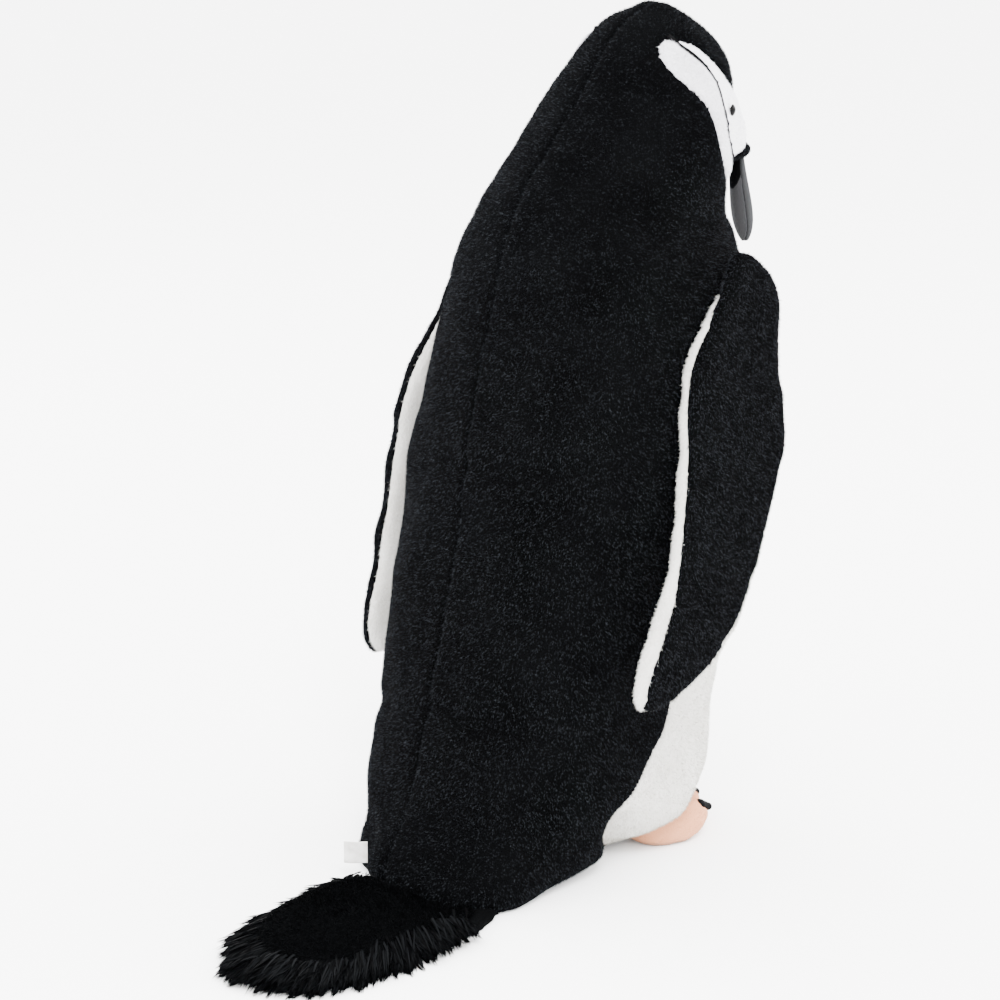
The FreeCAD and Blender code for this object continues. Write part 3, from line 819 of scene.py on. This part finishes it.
# ---- Claws, eyes and washers --------------------------------------------------------------
def moulded(name, dark, light, grain, bump, roughness, coat=0.0, specular=0.5):
    """Moulded plastic or vinyl with a fine grain."""
    material, add, link = new_material(name)
    out = add("ShaderNodeOutputMaterial")
    shader = add("ShaderNodeBsdfPrincipled", Roughness=roughness)
    shader.inputs["Coat Weight"].default_value = coat
    shader.inputs["Specular IOR Level"].default_value = specular
    shader.inputs["Coat Roughness"].default_value = 0.08
    place = add("ShaderNodeTexCoord")
    noise = add("ShaderNodeTexNoise", Scale=grain, Detail=4.0)
    ramp = add("ShaderNodeValToRGB")
    ramp.color_ramp.elements[0].position = 0.35
    ramp.color_ramp.elements[0].color = (*dark, 1.0)
    ramp.color_ramp.elements[1].position = 0.65
    ramp.color_ramp.elements[1].color = (*light, 1.0)
    relief = add("ShaderNodeBump", Strength=0.4, Distance=bump)
    link(place.outputs["Object"], noise.inputs["Vector"])
    link(noise.outputs["Fac"], ramp.inputs["Fac"])
    link(ramp.outputs["Color"], shader.inputs["Base Color"])
    link(noise.outputs["Fac"], relief.inputs["Height"])
    link(relief.outputs["Normal"], shader.inputs["Normal"])
    link(shader.outputs["BSDF"], out.inputs["Surface"])
    return material


def repaint(node, material):
    """A carried-over CAD node takes a better material."""
    mesh = nodes[node].data
    if not mesh.materials:
        mesh.materials.append(material)
    for slot_number in range(len(nodes[node].material_slots)):
        nodes[node].material_slots[slot_number].material = material


claw_vinyl = moulded(
    "claw_vinyl", (0.0008, 0.0008, 0.0009), (0.0022, 0.0022, 0.0025), 500.0, 0.0002, 0.5, 0.0, 0.02)
eye_plastic = moulded(
    "eye_plastic", (0.0006, 0.0005, 0.0005), (0.0012, 0.0010, 0.0009), 120.0, 0.00002, 0.12, 0.04, 0.03)
washer_plastic = moulded("washer_plastic", (0.30, 0.30, 0.29), (0.38, 0.38, 0.37), 300.0, 0.0001, 0.4)
for side in ["left", "right"]:
    repaint(f"foot_{side}_claws", claw_vinyl)
    repaint(f"eye_{side}", eye_plastic)
    repaint(f"eye_washer_{side}", washer_plastic)


# ---- Beak ---------------------------------------------------------------------------------
BEAK_VOXEL = 0.0010
BEAK_FIBRE_WIDTH = 0.0004
MOUTH_SHADE_LOW = 0.553          # the mouth slit's shade, painted black on the beak's lower half, ends here at its back edge
MOUTH_SHADE_SLOPE = 3.0          # and this much higher for each step forward
BEAK_LOOKS = {
    "beak_base": (black_backing, black_fibres, "black_plush", 9000, 0.0022),
    "beak_upper": (beak_backing, beak_fibres, "beak_fabric", 12000, 0.0009),
    "beak_lower": (beak_backing, beak_fibres, "beak_fabric", 8000, 0.0009),
}


def in_mouth_shade(places, back):
    """True where the beak's lower half is painted black as the mouth slit's shade: a sliver that tapers down
    its back edge.
    """
    return places[:, 2] > MOUTH_SHADE_LOW + MOUTH_SHADE_SLOPE * np.maximum(back - places[:, 1] - 0.002, 0.0)


for name, (backing, shades, slot, count, length) in BEAK_LOOKS.items():
    beak, beak_quads = outer_shell([name], BEAK_VOXEL, 4)
    beak_normals = vertex_normals(beak, beak_quads)
    piece = mesh_object("plush_" + name, beak, beak_quads, [backing, black_backing])
    if name == "beak_lower":
        back = beak[beak[:, 2] > MOUTH_SHADE_LOW][:, 1].max()
        # Faces in the mouth slit's shade take the black plush: painted shade.
        high = in_mouth_shade(beak[beak_quads].mean(axis=1), back)
        piece.data.polygons.foreach_set("material_index", high.astype(np.int32))
    finish_piece(piece, "root", [name])
    places, facing = scatter(beak, beak_quads, beak_normals, count)
    if name == "beak_lower":
        # The fibres leave out the painted mouth shade.
        low = ~in_mouth_shade(places, back)
        places, facing = places[low], facing[low]
    lay = np.tile([0.0, 0.0, -1.0], (len(places), 1))
    hair = pile("pile_" + name, places, facing, lay, length, BEAK_FIBRE_WIDTH, 0.6, 0.25, shades)
    finish_piece(hair, "root")


# ---- Tail ---------------------------------------------------------------------------------
fringe_fibres = fibres(
    "fringe_fibre", [(0.0005, 0.0005, 0.0006), (0.0010, 0.0011, 0.0012), (0.0022, 0.0024, 0.0027)],
    0.002, 0.55, (0.6, 0.7, 0.9), 0.006)
TAIL_PANELS = ["tail_border", "tail_centre", "tail_underside"]
tail_low, tail_high = (np.array(corner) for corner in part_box("tail_border"))
tail_middle = (tail_low + tail_high) / 2.0
TAIL_VOXEL = 0.0024
TAIL_FABRIC = 0.002
TAIL_PILE = 0.0046        # on the centre panel
TAIL_FIBRES = 50000
TUFTS = 1150              # on the border
STRANDS_PER_TUFT = 17
STRAND_LENGTH = 0.031
TUFT_SPREAD = 0.0034
STRAND_WIDTH = 0.0020
STRAND_POINTS = 6
TAIL_SHRINK = 0.93        # the sewn tail inside its fringe, as a share of the whole
TAIL_ROOT_REACH = 0.005   # the root is drawn this far towards the body
TAIL_EDGE_DROP = 0.55     # the tail's top falls by this share from its middle to its edge
TAIL_SEAM = [(0.0, 0.010), (0.04, 0.010)]    # the short-pile centre reaches this much further out


def shrink_tail(points):
    """Draw the tail's edge in to leave room for the fringe, but not at its root."""
    off_root = ease(points[:, 1], tail_low[1] + 0.03, tail_low[1] + 0.10)
    share = 1.0 - (1.0 - TAIL_SHRINK) * off_root
    points = points.copy()
    points[:, :2] = tail_middle[:2] + (points[:, :2] - tail_middle[:2]) * share[:, None]
    from_middle = (points[:, :2] - tail_middle[:2]) / ((tail_high - tail_low)[:2] / 2.0)
    outward = np.clip(np.linalg.norm(from_middle, axis=1), 0.0, 1.0)
    points[:, 2] *= 1.0 - TAIL_EDGE_DROP * ease(outward, 0.35, 1.0) * off_root
    points[:, 1] -= TAIL_ROOT_REACH * (1.0 - ease(points[:, 1], tail_low[1], tail_low[1] + 0.03))
    return points


tail, tail_quads, tail_normals, tail_distance = soft_shell(
    TAIL_PANELS + ["tail_filling"], TAIL_PANELS, TAIL_VOXEL, 8, 0.004, 0.003, 0.0012, shrink_tail, TAIL_SEAM)
labels = tail_distance[tail_quads].mean(axis=1).argmin(axis=1)
for index, name in enumerate(TAIL_PANELS):
    own = tail_quads[labels == index]
    piece = panel("plush_" + name, tail, own, tail_normals, TAIL_FABRIC, black_backing)
    inside = ["tail_filling"] if name == "tail_centre" else []
    finish_piece(piece, "tail", [name] + inside)
    if name == "tail_centre":
        places, facing = scatter(tail, own, tail_normals, TAIL_FIBRES)
        lay = np.tile([-0.2, 1.0, -0.2], (TAIL_FIBRES, 1))
        hair = pile("pile_" + name, places, facing, lay, TAIL_PILE, FIBRE_WIDTH, 0.6, 0.25, fringe_fibres)
        finish_piece(hair, "tail")


def tufts(name, count, per_tuft, length, spread, width, steps):
    """Shaggy pile of the tail's border: strands that gather into pointed tufts."""
    own = tail_quads[labels == 0]
    heights = tail_normals[own[:, 0]][:, 2]
    places, facing = scatter(tail, own, tail_normals, count, np.clip(heights + 0.75, 0.05, 1.0))
    rootward = ease(places[:, 1], tail_low[1] + 0.01, tail_low[1] + 0.12)[:, None]
    away = places - tail_middle
    away[:, 2] = 0.0
    radial = unit(away)
    back = np.array([-0.25, 1.0, 0.0])
    way = unit(radial * 0.75 + back * 0.55 + facing * 0.10 + rng.normal(size=(count, 3)) * 0.10)
    way[:, 2] = np.clip(way[:, 2], -0.12, 0.16)
    reach = length * rng.uniform(0.55, 1.15, size=(count, 1)) * (0.35 + 0.65 * rootward)
    t = np.linspace(0.0, 1.0, steps)[None, :, None]
    droop = np.array([0.0, 0.0, -0.007])
    axis = places[:, None, :] + way[:, None, :] * reach[:, None, :] * t + droop * t ** 2
    offset = rng.normal(size=(count, per_tuft, 3)) * spread
    offset -= facing[:, None, :] * (offset * facing[:, None, :]).sum(axis=2, keepdims=True)
    grow = rng.uniform(0.80, 1.0, size=(count, per_tuft, 1, 1))
    stray = rng.normal(size=(count, per_tuft, 1, 3)) * 0.0010
    curve = places[:, None, None, :] + (axis - places[:, None, :])[:, None] * grow
    curve = curve + offset[:, :, None, :] * (1.0 - t ** 1.3 * 0.97)[:, None] + stray * t[:, None] ** 2
    curve = curve.reshape(-1, steps, 3)
    curve[:, :, 2] = np.maximum(curve[:, :, 2], 0.0006)
    chosen = rng.integers(0, len(fringe_fibres), size=len(curve))
    hair = strands(name, curve, width, fringe_fibres, chosen)
    finish_piece(hair, "tail")


tufts("tail_fringe", TUFTS, STRANDS_PER_TUFT, STRAND_LENGTH, TUFT_SPREAD, STRAND_WIDTH, STRAND_POINTS)


# ---- Label --------------------------------------------------------------------------------
def label_material():
    """Woven ribbon, a little yellowed."""
    material, add, link = new_material("label_ribbon")
    out = add("ShaderNodeOutputMaterial")
    shader = add("ShaderNodeBsdfPrincipled", Roughness=0.5)
    shader.inputs["Sheen Weight"].default_value = 0.3
    place = add("ShaderNodeTexCoord")
    weave = add("ShaderNodeTexWave", Scale=900.0, Distortion=0.4)
    weave.bands_direction = "Z"
    stain = add("ShaderNodeTexNoise", Scale=160.0, Detail=3.0)
    ramp = add("ShaderNodeValToRGB")
    ramp.color_ramp.elements[0].position = 0.3
    ramp.color_ramp.elements[0].color = (0.40, 0.385, 0.36, 1.0)
    ramp.color_ramp.elements[1].position = 0.6
    ramp.color_ramp.elements[1].color = (0.54, 0.53, 0.52, 1.0)
    relief = add("ShaderNodeBump", Strength=0.5, Distance=0.0002)
    link(place.outputs["Object"], weave.inputs["Vector"])
    link(place.outputs["Object"], stain.inputs["Vector"])
    link(stain.outputs["Fac"], ramp.inputs["Fac"])
    link(ramp.outputs["Color"], shader.inputs["Base Color"])
    link(weave.outputs["Fac"], relief.inputs["Height"])
    link(relief.outputs["Normal"], shader.inputs["Normal"])
    link(shader.outputs["BSDF"], out.inputs["Surface"])
    return material


LABEL_LENGTH = 0.020
LABEL_HEIGHT = 0.019
LABEL_THICKNESS = 0.0006
LABEL_TURN = math.radians(48.0)
LABEL_GRID = 24
label_low = np.array(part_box("sewn_label")[0])


def sewn_label():
    """A blank ribbon label that curls a little as it stands out from the base seam."""
    out_way = np.array([math.cos(LABEL_TURN), math.sin(LABEL_TURN), 0.0])
    side_way = np.array([-math.sin(LABEL_TURN), math.cos(LABEL_TURN), 0.0])
    root = np.array([label_low[0] + 0.0008, label_low[1], label_low[2]])
    root = root - LEFT_HIP_WAY * (LEFT_HIP_TUCK * left_hip(root[None])[0])
    u, v = np.meshgrid(np.linspace(0.0, 1.0, LABEL_GRID), np.linspace(0.0, 1.0, LABEL_GRID))
    curl = 0.0016 * np.sin(u * 3.4 + v * 0.8) * u + 0.0005 * np.sin(v * 9.0) * u
    sheet = root + out_way * (u * LABEL_LENGTH)[..., None] + UP * (v * LABEL_HEIGHT)[..., None]
    sheet = (sheet + side_way * curl[..., None]).reshape(-1, 3)
    row = np.arange(LABEL_GRID - 1)
    first = (row[:, None] * LABEL_GRID + row[None, :]).ravel()
    faces = np.stack([first, first + 1, first + LABEL_GRID + 1, first + LABEL_GRID], axis=1)
    facing = vertex_normals(sheet, faces)
    return panel("label", sheet, faces, facing, LABEL_THICKNESS, label_material())


label = sewn_label()
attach(label, "label")
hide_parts("sewn_label")


# ---- Floor --------------------------------------------------------------------------------
FLOOR_REACH = 12.0
floor = mesh_object("floor", [(-FLOOR_REACH, -FLOOR_REACH, 0), (FLOOR_REACH, -FLOOR_REACH, 0),
                              (FLOOR_REACH, FLOOR_REACH, 0), (-FLOOR_REACH, FLOOR_REACH, 0)], [[0, 1, 2, 3]])
floor_material, add, link = new_material("pale_floor")
floor_out = add("ShaderNodeOutputMaterial")
floor_shader = add("ShaderNodeBsdfPrincipled", Roughness=0.9)
floor_shader.inputs["Base Color"].default_value = (0.92, 0.92, 0.92, 1.0)
link(floor_shader.outputs["BSDF"], floor_out.inputs["Surface"])
floor.data.materials.append(floor_material)
